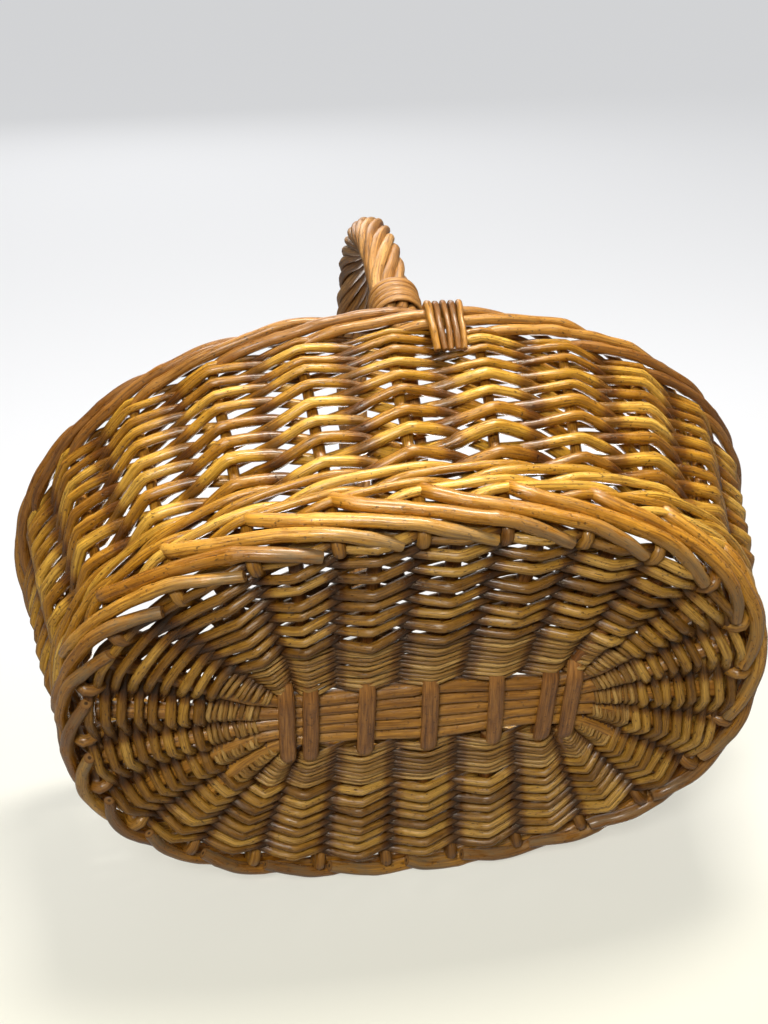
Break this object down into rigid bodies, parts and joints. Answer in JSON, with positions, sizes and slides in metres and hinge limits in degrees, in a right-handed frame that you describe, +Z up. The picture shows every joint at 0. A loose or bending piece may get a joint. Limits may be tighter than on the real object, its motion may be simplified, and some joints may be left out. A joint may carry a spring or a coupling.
{
  "type": "woven market basket",
  "caption": "Oval woven willow market basket with flared sides, a foot border, a plaited rim border and a fixed roped bow handle.",
  "frame": {"origin": "middle of the footprint on the surface the basket stands on", "axes": "+Z up, +X along the long side of the oval, -Y the front side"},
  "size_m": [0.4698, 0.3858, 0.4004],
  "materials": {
    "base_stick_willow": "peeled willow sticks, varnished, satin with scuffs",
    "base_weave_willow": "thin buff willow rods, varnished, satin, dark seams",
    "stake_willow": "buff willow stakes, varnished, semi-gloss",
    "foot_border_willow": "thick red-brown willow rods, varnished, worn grey on the underside",
    "wall_willow": "honey-amber willow rods, glossy clear varnish",
    "rim_border_willow": "honey-amber willow rods, glossy varnish with dark knots",
    "handle_willow": "pale tan willow rods, satin",
    "binding_willow": "flat split willow binding, satin"
  },
  "bodies": {
    "root": {"base_short_sticks": "base_stick_willow", "base_long_sticks": "base_stick_willow", "base_weave_fine": "base_weave_willow", "base_weave_inner": "base_weave_willow", "base_weave_middle": "base_weave_willow", "base_weave_outer": "base_weave_willow", "side_stakes": "stake_willow", "foot_border_rods": "foot_border_willow", "upsett_wale_lower": "wall_willow", "upsett_wale_upper": "wall_willow", "side_weave_row_1": "wall_willow", "side_weave_row_2": "wall_willow", "side_weave_row_3": "wall_willow", "side_weave_row_4": "wall_willow", "side_weave_row_5": "wall_willow", "side_weave_row_6": "wall_willow", "side_weave_row_7": "wall_willow", "side_weave_row_8": "wall_willow", "side_weave_top_row": "wall_willow", "rim_border_rods": "rim_border_willow", "handle_bow": "handle_willow", "handle_rope_rods": "handle_willow", "handle_whipping_front": "binding_willow", "handle_whipping_back": "binding_willow", "handle_tail_rods_front": "rim_border_willow", "handle_tail_rods_back": "rim_border_willow"}
  },
  "joints": []
}
